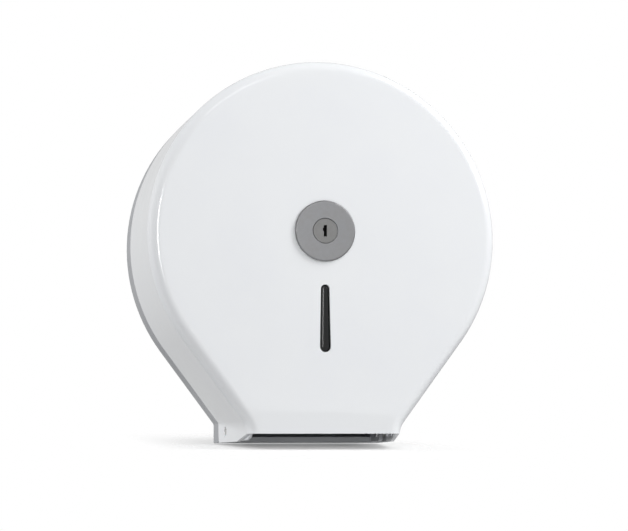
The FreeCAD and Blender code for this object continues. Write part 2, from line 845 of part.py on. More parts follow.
def main():
    right_cutter = tear_cutter()
    right_pin = hinge_pin()
    right_bush = hinge_bush()
    pieces = {
        "base_tray": base_tray(),
        "spindle_post": spindle_post(),
        "spindle_screws": spindle_screws(),
        "lock_keeper": lock_keeper(),
        "keeper_screws": keeper_screws(),
        "drag_washer": drag_washer(),
        "thrust_washer": thrust_washer(),
        "hub_circlip": hub_circlip(),
        "hinge_pin_right": right_pin,
        "hinge_pin_left": mirrored(right_pin),
        "roll_hub": roll_hub(),
        "hub_bush_rear": hub_bush(hub_rear + hub_bush_setback),
        "hub_bush_front": hub_bush(hub_front - hub_bush_setback - hub_bush_length),
        "front_cover": front_cover(),
        "hinge_bush_right": right_bush,
        "hinge_bush_left": mirrored(right_bush),
        "level_window": level_window(),
        "window_retainer": window_retainer(),
        "window_stakes": window_stakes(),
        "lock_escutcheon": lock_escutcheon(),
        "lock_barrel": lock_barrel(),
        "lock_washer": lock_washer(),
        "lock_nut": lock_nut(),
        "tear_cutter_right": right_cutter,
        "tear_cutter_left": mirrored(right_cutter),
        "cutter_screws": cutter_screws(),
        "lock_plug": lock_plug(),
        "lock_cam": lock_cam(),
        "cam_screw": cam_screw(),
    }
    os.makedirs("parts", exist_ok=True)
    for name, shape in pieces.items():
        shape.exportStep("parts/" + name + ".step")
        print(name, len(shape.Solids), round(shape.Volume), shape.isValid())


main()
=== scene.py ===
import json
import math

import bmesh
import bpy
import numpy as np
from mathutils import Matrix, Vector


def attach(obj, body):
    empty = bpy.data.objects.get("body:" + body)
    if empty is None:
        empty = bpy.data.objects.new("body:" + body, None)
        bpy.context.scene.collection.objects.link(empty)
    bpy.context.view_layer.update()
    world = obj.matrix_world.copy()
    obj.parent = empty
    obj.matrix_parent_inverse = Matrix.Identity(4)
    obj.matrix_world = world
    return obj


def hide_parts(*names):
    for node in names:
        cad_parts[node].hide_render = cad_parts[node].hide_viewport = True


# Jumbo toilet roll dispenser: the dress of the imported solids. Sizes are millimetres, as in the
# solids, and become metres where a mesh is made. "Forward" is a distance off the wall, along -Y.

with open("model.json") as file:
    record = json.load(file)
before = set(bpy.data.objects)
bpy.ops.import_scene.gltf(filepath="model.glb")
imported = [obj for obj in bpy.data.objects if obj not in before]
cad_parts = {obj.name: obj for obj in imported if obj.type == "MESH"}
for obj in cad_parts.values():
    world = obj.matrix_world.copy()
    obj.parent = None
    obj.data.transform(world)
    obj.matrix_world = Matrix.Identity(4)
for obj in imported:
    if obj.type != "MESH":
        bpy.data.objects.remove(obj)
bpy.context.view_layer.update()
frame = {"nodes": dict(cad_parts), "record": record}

# Casing
drum_radius = 135.0
drum_drop = 2.5
neck_half_width = 66.0
neck_height = 14.6
taper = math.radians(36.7)
crease_rear = 3.0
crease_front = 18.0
casing_depth = 115.0
tray_depth = 21.5
tray_draft = 0.6
drum_draft = 3.6
neck_draft = 8.8
front_round = 8.0
cover_rear = 21.9
cover_wall = 2.5
mouth_rise = 5.2
sole_end = 78.0
slope_end = 107.0
hinge_forward = 43.0
hinge_height = 8.0
bush_hole_radius = 3.61

# Face
barrel_hole_radius = 11.25
lock_boss_radius = 18.0
lock_boss_height = 1.5
window_top = 39.6
window_low = 89.6
window_top_radius = 3.25
window_low_radius = 4.1
lens_gap = 0.12
lens_flange = 2.4
lens_flange_wall = 1.4
lens_edge = 2.2
lens_crown = 0.6
escutcheon_radius = 22.7
escutcheon_front = 117.2
plug_hole_radius = 9.55
flange_pocket_radius = 14.55
flange_pocket_depth = 1.05

# The lock plate's turned edges: steps out from the plug's hole or in from the rim, each with
# its depth behind the front, and then with its height over the cover at the shadow step
hole_edge = ((0.0, 0.05), (0.05, 0.0), (0.15, 0.0), (1.2, 0.0))
rim_bevel = ((2.2, 0.0), (1.05, 0.0), (0.9, 0.03), (0.8, 0.1), (0.16, 0.74), (0.04, 0.92),
             (0.0, 1.1))
rim_step = ((0.0, 0.55), (0.08, 0.42), (0.45, 0.38), (0.5, 0.0))

# Meshes
metre = 0.001
edge_round = 0.45              # broken edges of the cover
support = 0.9                  # lines that keep the face flat lie this far from its edges
merge_gap = 0.01               # points closer than this become one, in a made surface
solid_merge_gap = 0.002        # and in a solid's copy
flat_angle = 0.3               # degrees between triangles that belong to one flat
low_stations = 22              # points along the neck and the crease,
taper_stations = 14            # along each taper,
head_stations = 65             # and from the taper to the head's top
round_stations = 11            # round the face's edge
heel_stations = 6              # round the heel, and then the rows at these distances forward
wall_rows = (30.0, 36.0, 43.0, 52.0, 61.0, 70.0, sole_end, 85.0, 93.0, 100.0)
face_split = 31.5              # the face's two grids meet this far below the lock
face_rows = (0.35, 0.7, 1.0)   # shares of the way from a hole's support line to the outer one
split_stations = 60            # along the line where the two grids meet
mouth_stations = 40            # and along the mouth's edge
drill_stations = 48
drill_half_length = 90.0
lock_plate_stations = 160
slot_side_stations = 14        # along each side of the window's slot,
slot_end_stations = 21         # round each of its ends,
crown_stations = 13            # and from the lens's edge up to its crown

# The lens flange's broken edges, behind and in front: the share of its width that stays flat,
# and the edge's depth
flange_back_share, flange_back_edge = 0.97, 0.15
flange_seat_share, flange_seat_edge = 0.985, 0.1

crease_drop = drum_radius * math.sin(taper)
crease_run = (drum_radius * math.cos(taper) - neck_half_width) / math.tan(taper)
foot_level = drum_drop + crease_drop + crease_run + neck_height
mouth_level = foot_level - mouth_rise
hinge_level = hinge_height - foot_level
heel_radius = hinge_forward - cover_rear
cover_depth = casing_depth - tray_depth
face_inside = casing_depth - cover_wall
slot_head = -window_top - window_top_radius    # middles of the window's round ends
slot_foot = -window_low + window_low_radius


# Finishes

def linear(hex_colour):
    """Linear red, green, blue and alpha of an sRGB hex colour."""
    parts = [int(hex_colour[i:i + 2], 16) / 255 for i in (1, 3, 5)]
    return [c / 12.92 if c <= 0.04045 else ((c + 0.055) / 1.055) ** 2.4 for c in parts] + [1.0]


def wire(material, kind, values=None, **settings):
    """Adds one node. Settings are its own, values go to its sockets, and a socket is linked."""
    tree = material.node_tree
    made = tree.nodes.new("ShaderNode" + kind)
    for name, value in settings.items():
        setattr(made, name, value)
    for name, value in (values or {}).items():
        socket = made.inputs[name]
        if isinstance(value, bpy.types.NodeSocket):
            tree.links.new(value, socket)
        else:
            socket.default_value = value
    return made


def blank_finish(name):
    """A material with an empty tree, and the piece's own coordinates in metres."""
    material = bpy.data.materials.new(name)
    material.use_nodes = True
    material.node_tree.nodes.clear()
    return material, wire(material, "TexCoord").outputs["Object"]


def close_finish(material, shader):
    """Joins the shader to the material's output."""
    wire(material, "OutputMaterial", {"Surface": shader.outputs["BSDF"]})
    return material


def cloud(material, place, size_mm, detail=3.0, roughness=0.55):
    """Noise whose patches are about size_mm across."""
    return wire(material, "TexNoise", {
        "Vector": place, "Scale": 1 / (size_mm * metre), "Detail": detail,
        "Roughness": roughness}).outputs["Fac"]


def spread(material, fac, low, high, start=0.3, end=0.7):
    """Runs a value from low to high as fac goes from start to end."""
    return wire(material, "MapRange", {
        "Value": fac, "From Min": start, "From Max": end, "To Min": low,
        "To Max": high}).outputs["Result"]


def tint(material, fac, first, second):
    """Mixes two sRGB hex colours, the first where fac is 0 and the second where it is 1."""
    mixed = wire(material, "Mix", {"Factor": fac}, data_type="RGBA")
    mixed.inputs["A"].default_value = linear(first)
    mixed.inputs["B"].default_value = linear(second)
    return mixed.outputs["Result"]


def moulded(name, light, dark, gloss, grain_mm, grain_depth_mm, level=0.5, swing=0.05):
    """Injection moulded ABS. The mould's polish or spark grain is a fine bump, and slow
    patches in colour and gloss come from how the melt filled the mould and from handling."""
    material, place = blank_finish(name)
    patch = cloud(material, place, 55.0, detail=2.0)
    wipe = cloud(material, place, 14.0, detail=4.0)
    grain = cloud(material, place, grain_mm, detail=2.0)
    relief = wire(material, "Bump", {
        "Height": grain, "Strength": 1.0, "Distance": grain_depth_mm * metre})
    shader = wire(material, "BsdfPrincipled", {
        "Base Color": tint(material, spread(material, patch, 0.0, 1.0), light, dark),
        "Roughness": spread(material, wipe, gloss - swing, gloss + swing),
        "Normal": relief.outputs["Normal"], "IOR": 1.53, "Specular IOR Level": level})
    return close_finish(material, shader)


def turned_metal(name, light, dark, gloss, pitch_mm, depth_mm):
    """Zinc faced on a lathe and satin plated: fine rings round the lock's axis, drawn coarse
    enough to show, and a cloudy plating."""
    material, place = blank_finish(name)
    # The wave texture's rings lie 2 * pi / 20 / scale apart
    ring_scale = 2 * math.pi / 20 / (pitch_mm * metre)
    rings = wire(material, "TexWave", {
        "Vector": place, "Scale": ring_scale, "Distortion": 0.6, "Detail": 2.0,
        "Detail Scale": 0.4}, wave_type="RINGS", rings_direction="Y").outputs["Fac"]
    plating = cloud(material, place, 6.0, detail=5.0)
    relief = wire(material, "Bump", {
        "Height": rings, "Strength": 1.0, "Distance": depth_mm * metre})
    shader = wire(material, "BsdfPrincipled", {
        "Base Color": tint(material, spread(material, plating, 0.0, 1.0), light, dark),
        "Roughness": spread(material, plating, gloss - 0.04, gloss + 0.05),
        "Metallic": 1.0, "Normal": relief.outputs["Normal"]})
    return close_finish(material, shader)


def sheet_metal(name, light, dark, gloss, grain_mm, stretch):
    """Rolled or plated steel: a streaked grain along X and cloudy plating."""
    material, place = blank_finish(name)
    drawn = wire(material, "Mapping", {"Vector": place, "Scale": (1 / stretch, 1.0, 1.0)})
    streak = cloud(material, drawn.outputs["Vector"], grain_mm, detail=3.0)
    plating = cloud(material, place, 4.0, detail=4.0)
    relief = wire(material, "Bump", {
        "Height": streak, "Strength": 1.0, "Distance": 0.004 * metre})
    shader = wire(material, "BsdfPrincipled", {
        "Base Color": tint(material, spread(material, plating, 0.0, 1.0), light, dark),
        "Roughness": spread(material, streak, gloss - 0.06, gloss + 0.06),
        "Metallic": 1.0, "Normal": relief.outputs["Normal"]})
    return close_finish(material, shader)


def smoked_glazing(name):
    """Smoked acrylic: polished, so it mirrors softly at its crown, and dark behind."""
    material, place = blank_finish(name)
    haze = cloud(material, place, 3.0, detail=3.0)
    shader = wire(material, "BsdfPrincipled", {
        "Base Color": tint(material, spread(material, haze, 0.0, 1.0), "#111313", "#0c0e0e"),
        "Roughness": spread(material, haze, 0.14, 0.2),
        "IOR": 1.49, "Specular IOR Level": 0.28, "Transmission Weight": 0.3})
    return close_finish(material, shader)


def natural_nylon(name):
    """Unfilled nylon: milky, a little see-through at its thin edges, with a soft shine."""
    material, place = blank_finish(name)
    milk = cloud(material, place, 5.0, detail=3.0)
    shader = wire(material, "BsdfPrincipled", {
        "Base Color": tint(material, spread(material, milk, 0.0, 1.0), "#e8e6df", "#dcd9d0"),
        "Roughness": spread(material, milk, 0.38, 0.48), "IOR": 1.53,
        "Subsurface Weight": 0.25, "Subsurface Scale": 1.5 * metre})
    return close_finish(material, shader)


def pressed_felt(name):
    """Wool felt: matted fibres, drawn 0.45 mm apart so that they show, with tufts, no gloss and
    a soft sheen."""
    material, place = blank_finish(name)
    fibre = cloud(material, place, 0.45, detail=5.0, roughness=0.75)
    tuft = cloud(material, place, 2.5, detail=3.0)
    relief = wire(material, "Bump", {
        "Height": fibre, "Strength": 1.0, "Distance": 0.25 * metre})
    shader = wire(material, "BsdfPrincipled", {
        "Base Color": tint(material, spread(material, tuft, 0.0, 1.0), "#6b6862", "#4f4c47"),
        "Roughness": 0.95, "Sheen Weight": 0.4, "Sheen Roughness": 0.5,
        "Specular IOR Level": 0.2, "Normal": relief.outputs["Normal"]})
    return close_finish(material, shader)


# A real spark grain is about 0.1 mm wide and a lathe's ring about 0.05 mm. Both would vanish in
# the render, so they are drawn several times as coarse.
finishes = {
    # Polished mould: crisp highlights over a very slight orange peel
    "cover_abs": moulded("white_gloss_abs", "#eceef0", "#eaecef", 0.14, 6.0, 0.004, level=0.35,
                         swing=0.02),
    # Spark-grained mould: an even, matt grey with hardly a highlight
    "tray_abs": moulded("grey_spark_grained_abs", "#acaeb1", "#a6a8ab", 0.55, 0.8, 0.01,
                        level=0.3),
    # The same grain, deeper and darker
    "post_abs": moulded("dark_grey_abs", "#8d8f92", "#85878a", 0.48, 0.7, 0.018, level=0.4),
    # Satin mould, worn a little smoother by the cores
    "hub_abs": moulded("pale_grey_abs", "#d3d5d7", "#cbcdd0", 0.40, 0.8, 0.012),
    # Satin mould: pale inserts that stay soft under the cover's gloss
    "cutter_abs": moulded("satin_pale_abs", "#eceef0", "#e4e6e9", 0.42, 0.8, 0.012),
    "smoked_acrylic": smoked_glazing("smoked_acrylic"),
    # Faced and satin plated: a flat mid grey, evenly bright from edge to edge
    "satin_zinc": turned_metal("satin_zinc", "#848587", "#7e7e7f", 0.38, 0.45, 0.002),
    # Faced and left bare: a shade darker and duller than the plate round it
    "plug_zinc": turned_metal("turned_zinc", "#767676", "#6f6f6e", 0.42, 0.35, 0.003),
    # Cold rolled: long faint streaks in a soft shine
    "sheet_steel": sheet_metal("cold_rolled_steel", "#b3b4b4", "#a3a4a5", 0.34, 0.5, 12.0),
    # Bright plated: a clear, slightly blue shine on the fasteners
    "zinc_steel": sheet_metal("bright_zinc_plated_steel", "#c6c9cc", "#b2b6ba", 0.26, 0.6, 3.0),
    # Blued: nearly black, with a thin bright line on each edge
    "spring_steel": sheet_metal("blued_spring_steel", "#4b4d52", "#3c3e44", 0.32, 0.5, 6.0),
    "nylon": natural_nylon("natural_nylon"),
    "felt": pressed_felt("pressed_wool_felt"),
}
slot_of_node = {row["node"]: row["material_slot"] for row in frame["record"]["subparts"]}
body_of_node = {node: body for body, members in frame["record"]["behaviour"]["bodies"].items()
                for node in members}

# Stage. Lengths are in metres.
floor_half = 0.6
floor_fall = 3.0               # degrees down towards the front
floor_drop = 0.0006            # clear of the feet
floor_tint = (0.95, 0.95, 0.95, 1.0)
floor_share = 0.9              # how solid the floor is to the eye,
bounce_share = 0.4             # to light thrown on by other surfaces,
lamp_share = 0.05              # and how much less than solid to the lamps
fade_across = (0.040, 0.120)   # it thins out between these distances from the middle
fade_forward = (0.0, 0.270)    # and from the wall
light_gap_middle = 0.039       # in front of the wall, where lamp light comes up through it
light_gap_half = 0.016
soft_light = 0.26              # the even light's strength
backdrop_gloss = 0.65          # how bright gloss sees the backdrop behind the object
backdrop_from, backdrop_to = 0.0, 0.7    # as its ray turns from sideways to backwards
aimed_at = (0, -0.06, 0)

# Camera: focal length in pixels of the photograph, and its place and turns (radians), fitted to
# the casing's outline
lens_pixels = 1893.7
frame_pixels = 628
sensor_width = 36.0
camera_place = (-0.2842, -1.4758, -0.1753)
camera_yaw, camera_pitch, camera_roll = 0.2000, 0.1073, -0.0043

# Width of the broken edges on solids that are shown as eased copies
eased_nodes = {
    "base_tray": 0.35, "spindle_post": 0.3, "roll_hub": 0.3, "window_retainer": 0.2,
    "tear_cutter_right": 0.12, "tear_cutter_left": 0.12, "lock_keeper": 0.2,
    "lock_barrel": 0.2, "lock_nut": 0.3, "lock_plug": 0.12, "lock_cam": 0.25,
}


# Meshes

def surface(name, grids, wrap=False):
    """One mesh from grids of points in millimetres (across, forward, up), each (rows, columns,
    3), with a four-sided face in every cell. Points that meet are merged."""
    points, faces, start = [], [], 0
    for grid in grids:
        rows, columns = grid.shape[:2]
        index = start + np.arange(rows * columns).reshape(rows, columns)
        if wrap:
            index = np.hstack([index, index[:, :1]])
        cells = np.stack([index[:-1, :-1], index[:-1, 1:], index[1:, 1:], index[1:, :-1]], -1)
        points.append(grid.reshape(-1, 3))
        faces.append(cells.reshape(-1, 4))
        start += rows * columns
    points = np.vstack(points) * metre * np.array([1, -1, 1])
    mesh = bpy.data.meshes.new(name)
    mesh.from_pydata(points.tolist(), [], np.vstack(faces).tolist())
    shape = bmesh.new()
    shape.from_mesh(mesh)
    bmesh.ops.remove_doubles(shape, verts=shape.verts, dist=merge_gap * metre)
    bmesh.ops.recalc_face_normals(shape, faces=shape.faces)
    shape.to_mesh(mesh)
    shape.free()
    piece = bpy.data.objects.new(name, mesh)
    bpy.context.scene.collection.objects.link(piece)
    return piece


def rounded(piece, width=edge_round, angle=40.0, steps=2):
    """Rounds over the piece's edges that are sharper than an angle, with a bevel that many
    millimetres wide."""
    bevel = piece.modifiers.new("edges", "BEVEL")
    bevel.width = width * metre
    bevel.segments = steps
    bevel.limit_method = "ANGLE"
    bevel.angle_limit = math.radians(angle)
    bevel.miter_outer = "MITER_ARC"


def applied(piece):
    """Puts the piece's modifiers into its mesh."""
    graph = bpy.context.evaluated_depsgraph_get()
    done = bpy.data.meshes.new_from_object(piece.evaluated_get(graph))
    done.name = piece.name
    piece.modifiers.clear()
    piece.data = done


def settle(piece, smooth=50.0):
    """Applies the piece's modifiers and shades it smooth across edges under an angle, with the
    large flats kept flat and the shading turned on the narrow rounds between them."""
    applied(piece)
    piece.data.shade_smooth()
    piece.data.set_sharp_from_angle(angle=math.radians(smooth))
    flats = piece.modifiers.new("flats", "WEIGHTED_NORMAL")
    flats.keep_sharp = True
    applied(piece)


def fitted(piece, body, slot, *nodes):
    """Gives a finished piece its material and its body, and hides the solids that it stands for.
    """
    piece.data.materials.clear()
    piece.data.materials.append(finishes[slot])
    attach(piece, body)
    if nodes:
        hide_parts(*nodes)
    return piece


def spun(profile, stations=96):
    """Points of a profile, rows of (radius, forward), carried round the lock's axis."""
    turn = np.linspace(0, 2 * math.pi, stations, endpoint=False)
    radius, forward = np.asarray(profile, float).T
    return np.stack([radius[:, None] * np.sin(turn), forward[:, None] + 0 * turn,
                     radius[:, None] * np.cos(turn)], -1)


# Cover

def crease_centre(share):
    """Middle of the hollow crease's arc, across and up, and its radius."""
    radius = drum_radius - tray_draft - drum_draft * share
    neck = neck_half_width - tray_draft - neck_draft * share
    crease = crease_rear + (crease_front - crease_rear) * share
    corner = (-drum_drop - radius * math.sin(taper)
              - (radius * math.cos(taper) - neck) / math.tan(taper))
    return neck + crease, corner - crease * math.tan(taper / 2), crease


def cover_line(share, foot):
    """The cover's line seen from the front, right foot to left foot, one row for each share:
    upright neck, hollow crease arc, straight taper, round head, and the same mirrored. Share is
    0 at the tray's front plane and 1 at the cover's face. Gives points and outward normals."""
    share = np.asarray(share, float)[:, None]
    foot = np.asarray(foot, float)[:, None]
    radius = drum_radius - tray_draft - drum_draft * share
    middle, crease_foot, crease = crease_centre(share)

    neck_length = np.clip(crease_foot - foot, 0, None)
    start = math.pi - np.arcsin(np.clip((foot - crease_foot) / crease, 0, 1))
    whole = neck_length + crease * (start - math.pi + taper)
    run = whole * np.linspace(0, 1, low_stations, endpoint=False)
    turn = start - np.clip(run - neck_length, 0, None) / crease
    low_across = middle + crease * np.cos(turn)
    low_up = np.where(run < neck_length, foot + run, crease_foot + crease * np.sin(turn))

    step = np.linspace(0, 1, taper_stations, endpoint=False)
    line_across = middle - crease * math.cos(taper)
    line_up = crease_foot + crease * math.sin(taper)
    head_across = radius * math.cos(taper)
    head_up = -drum_drop - radius * math.sin(taper)
    taper_across = line_across + (head_across - line_across) * step
    taper_up = line_up + (head_up - line_up) * step
    arc = np.linspace(-taper, math.pi / 2, head_stations)
    arc_across = radius * np.cos(arc)
    arc_up = -drum_drop + radius * np.sin(arc)

    across = np.hstack([low_across, taper_across, arc_across])
    up = np.hstack([low_up, taper_up, arc_up])
    fixed = np.concatenate([np.full(taper_stations, -taper), arc])
    aim = np.hstack([turn - math.pi, np.repeat(fixed[None], len(turn), 0)])
    normal = np.stack([np.cos(aim), np.sin(aim)], -1)
    right = np.stack([across, up], -1)
    flip = np.array([-1.0, 1.0])
    line = np.concatenate([right, right[:, -2::-1] * flip], 1)
    normal = np.concatenate([normal, normal[:, -2::-1] * flip], 1)
    return line, normal


def wall_lean(normal):
    """Draft angle of the side wall at each outward normal: the head and taper close in by
    drum_draft over the cover's depth, and the crease and neck by how their arc's middle and
    radius change."""
    rear, front = crease_centre(0.0), crease_centre(1.0)
    shift = np.array([front[0] - rear[0], front[1] - rear[1]])
    closing = np.full(len(normal), drum_draft)
    for low in (slice(0, low_stations), slice(len(normal) - low_stations, len(normal))):
        side = np.abs(normal[low]) * np.array([1, -1])
        closing[low] = crease_front - crease_rear - side @ shift
    return closing


def cover_foot(forward):
    """Level of the cover's lower edge: the heel rolls round the hinge, then the flat sole, the
    slope up to the mouth and the mouth's level edge."""
    forward = np.asarray(forward, float)
    reach = np.clip(heel_radius ** 2 - (hinge_forward - forward) ** 2, 0, None)
    heel = np.maximum(hinge_level - np.sqrt(reach), -foot_level)
    slope = -foot_level + mouth_rise * (forward - sole_end) / (slope_end - sole_end)
    return np.select([forward < hinge_forward, forward < sole_end, forward < slope_end],
                     [heel, -foot_level, slope], -mouth_level)


def window_ring(outer):
    """The nearest points of the window's slot to each outer point: straight out from the slot's
    middle line, at a radius that grows from its head to its foot."""
    along = np.clip(outer[:, 1], slot_foot, slot_head)
    share = (along - slot_foot) / (slot_head - slot_foot)
    radius = window_low_radius + (window_top_radius - window_low_radius) * share
    away = outer - np.stack([0 * along, along], -1)
    away = away / np.linalg.norm(away, axis=1, keepdims=True)
    return np.stack([0 * along, along], -1) + away * radius[:, None], away


def barrel_ring(outer):
    """The nearest points of the lock barrel's hole to each outer point, straight in towards
    the lock's axis."""
    away = outer / np.linalg.norm(outer, axis=1, keepdims=True)
    return away * barrel_hole_radius, away


def face_grid(outer, ring_of):
    """Flat grid between a hole's edge and a closed outer line, with a support line by each."""
    ring, away = ring_of(outer)
    first = ring + away * support
    rows = [ring, first] + [first + (outer - first) * step for step in face_rows]
    flat = np.stack(rows)
    return np.stack([flat[..., 0], np.full(flat.shape[:2], casing_depth), flat[..., 1]], -1)


def cover_shell():
    """The drafted shell: the casing's line carried from the rear edge to the face, then round
    a fillet of front_round and flat up to the window and the lock."""
    heel_turn = np.linspace(0, math.asin(hinge_height / heel_radius), heel_stations)
    forward = np.concatenate([hinge_forward - heel_radius * np.cos(heel_turn), wall_rows])
    share = (forward - tray_depth) / cover_depth
    wall, _ = cover_line(share, cover_foot(forward))
    front, normal = cover_line([1.0], [-mouth_level])
    lean = np.arctan(wall_lean(normal[0]) / cover_depth)
    wall = np.stack([wall[..., 0], np.repeat(forward[:, None], wall.shape[1], 1),
                     wall[..., 1]], -1)
    turn = lean + (math.pi / 2 - lean) * np.linspace(0, 1, round_stations)[:, None]
    inset = front_round * (1 / np.cos(lean) - np.tan(lean) - np.cos(turn))
    level = casing_depth - front_round * (1 - np.sin(turn))
    inset = np.vstack([inset, inset[-1:] + support])
    level = np.vstack([level, level[-1:]])
    edge = front - normal * inset[..., None]
    fillet = np.stack([edge[..., 0], level, edge[..., 1]], -1)
    fillet[:, [0, -1], 2] = -mouth_level
    side = np.concatenate([wall, fillet])

    rim = fillet[-1][:, [0, 2]]
    split = int(np.argmin(np.abs(rim[:rim.shape[0] // 2, 1] + face_split)))
    split_step = np.linspace(0, 1, split_stations)[1:-1, None]
    right, left = rim[split], rim[-1 - split]
    upper = np.vstack([rim[split:len(rim) - split], left + (right - left) * split_step])
    mouth_step = np.linspace(0, 1, mouth_stations)[1:-1, None]
    lower = np.vstack([rim[:split + 1], right + (left - right) * split_step,
                       rim[-1 - split:], rim[-1] + (rim[0] - rim[-1]) * mouth_step])
    loops = []
    for outer, ring_of in ((upper, barrel_ring), (lower, window_ring)):
        grid = face_grid(outer, ring_of)
        loops.append(np.concatenate([grid, grid[:, :1]], 1))
    shell = surface("cover_shell", [side] + loops)

    wall_maker = shell.modifiers.new("wall", "SOLIDIFY")
    wall_maker.thickness = cover_wall * metre
    wall_maker.offset = -1.0
    wall_maker.use_even_offset = True
    wall_maker.use_quality_normals = True
    profile = [(0, -drill_half_length), (bush_hole_radius, -drill_half_length),
               (bush_hole_radius, drill_half_length), (0, drill_half_length)]
    drill_grid = spun(profile, drill_stations)[..., [1, 0, 2]]
    drill_grid = drill_grid + np.array([0, hinge_forward, hinge_level])
    drill = surface("drill", [drill_grid], wrap=True)
    hole = shell.modifiers.new("hinge holes", "BOOLEAN")
    hole.operation = "DIFFERENCE"
    hole.solver = "EXACT"
    hole.object = drill
    rounded(shell)
    settle(shell)
    bpy.data.objects.remove(drill)

    boss_back = face_inside - lock_boss_height
    boss_line = [(barrel_hole_radius, face_inside), (barrel_hole_radius, boss_back),
                 (lock_boss_radius - edge_round, boss_back),
                 (lock_boss_radius, boss_back + edge_round), (lock_boss_radius, face_inside),
                 (barrel_hole_radius, face_inside)]
    boss = surface("cover_boss", [spun(boss_line)], wrap=True)
    settle(boss)
    fitted(shell, "cover", "cover_abs", "front_cover")
    fitted(boss, "cover", "cover_abs")


# Lock and window

def lock_plate():
    """Escutcheon: a turned profile with a bevelled rim over a shadow step, and behind it the
    pocket for the barrel's flange."""
    pocket = casing_depth + flange_pocket_depth
    rim, front = escutcheon_radius, escutcheon_front
    profile = [(flange_pocket_radius, casing_depth), (flange_pocket_radius, pocket),
               (plug_hole_radius, pocket)]
    profile += [(plug_hole_radius + out, front - deep) for out, deep in hole_edge]
    profile += [(rim - inward, front - deep) for inward, deep in rim_bevel]
    profile += [(rim - inward, casing_depth + high) for inward, high in rim_step]
    profile += [(flange_pocket_radius, casing_depth)]
    plate = surface("lock_plate", [spun(profile, lock_plate_stations)], wrap=True)
    settle(plate)
    return fitted(plate, "cover", "satin_zinc", "lock_escutcheon")


def slot_line(offset):
    """Closed line of the window's slot grown by an offset: an arc about the head's middle, the
    left side, an arc about the foot's middle and the right side. Gives the line and, for each
    of its points, the nearest point of the slot's middle line, across and up."""
    lean = math.asin((window_low_radius - window_top_radius) / (slot_head - slot_foot))
    step = np.linspace(0, 1, slot_side_stations)[1:-1, None]
    over = np.linspace(lean, math.pi - lean, slot_end_stations)
    under = np.linspace(math.pi - lean, 2 * math.pi + lean, slot_end_stations)
    head = np.stack([np.cos(over), np.sin(over)], -1) * (window_top_radius + offset)
    foot = np.stack([np.cos(under), np.sin(under)], -1) * (window_low_radius + offset)
    head[:, 1] += slot_head
    foot[:, 1] += slot_foot
    left = head[-1] + (foot[0] - head[-1]) * step
    right = foot[-1] + (head[0] - foot[-1]) * step
    line = np.vstack([head, left, foot, right])
    middle = np.stack([0 * line[:, 1], np.clip(line[:, 1], slot_foot, slot_head)], -1)
    return line, middle


def window_lens():
    """Smoked lens: its flange lies behind the cover, and its front is crowned, a quarter of an
    ellipse from the slot's edge to the slot's middle line."""
    back = face_inside - lens_flange_wall
    edge = casing_depth - lens_edge
    rise = lens_edge - lens_crown
    rows = [(0.0, lens_flange, back), (flange_back_share, lens_flange, back),
            (1.0, lens_flange, back + flange_back_edge),
            (1.0, lens_flange, face_inside - flange_seat_edge),
            (flange_seat_share, lens_flange, face_inside), (1.0, -lens_gap, face_inside),
            (1.0, -lens_gap, edge)]
    turn = np.linspace(0, math.pi / 2, crown_stations)[1:]
    rows += [(math.cos(t), -lens_gap, edge + rise * math.sin(t)) for t in turn]
    grid = []
    for share, offset, forward in rows:
        line, middle = slot_line(offset)
        ring = middle + (line - middle) * share
        grid.append(np.stack([ring[:, 0], np.full(len(ring), forward), ring[:, 1]], -1))
    lens = surface("window_lens", [np.stack(grid)], wrap=True)
    settle(lens)
    return fitted(lens, "cover", "smoked_acrylic", "level_window")


# Solids whose edges are broken

def eased(node, width, angle=32.0, steps=2):
    """A merged copy of a solid's mesh, its flats made whole again, whose edges are rounded
    over by a bevel of this width."""
    source = frame["nodes"][node]
    mesh = source.data.copy()
    shape = bmesh.new()
    shape.from_mesh(mesh)
    bmesh.ops.remove_doubles(shape, verts=shape.verts, dist=solid_merge_gap * metre)
    bmesh.ops.dissolve_limit(shape, angle_limit=math.radians(flat_angle), verts=shape.verts,
                             edges=shape.edges)
    shape.to_mesh(mesh)
    shape.free()
    if "custom_normal" in mesh.attributes:
        mesh.attributes.remove(mesh.attributes["custom_normal"])
    piece = bpy.data.objects.new(node + "_eased", mesh)
    bpy.context.scene.collection.objects.link(piece)
    rounded(piece, width, angle, steps)
    piece.modifiers["edges"].use_clamp_overlap = False
    settle(piece)
    return fitted(piece, body_of_node[node], slot_of_node[node], node)


cover_shell()
lock_plate()
window_lens()
for node, width in eased_nodes.items():
    eased(node, width)

# Solids that keep their shape and get their finish
for name, node in frame["nodes"].items():
    if node.hide_render:
        continue
    node.data.materials.clear()
    node.data.materials.append(finishes[slot_of_node[name]])


# Stage, lamps and camera

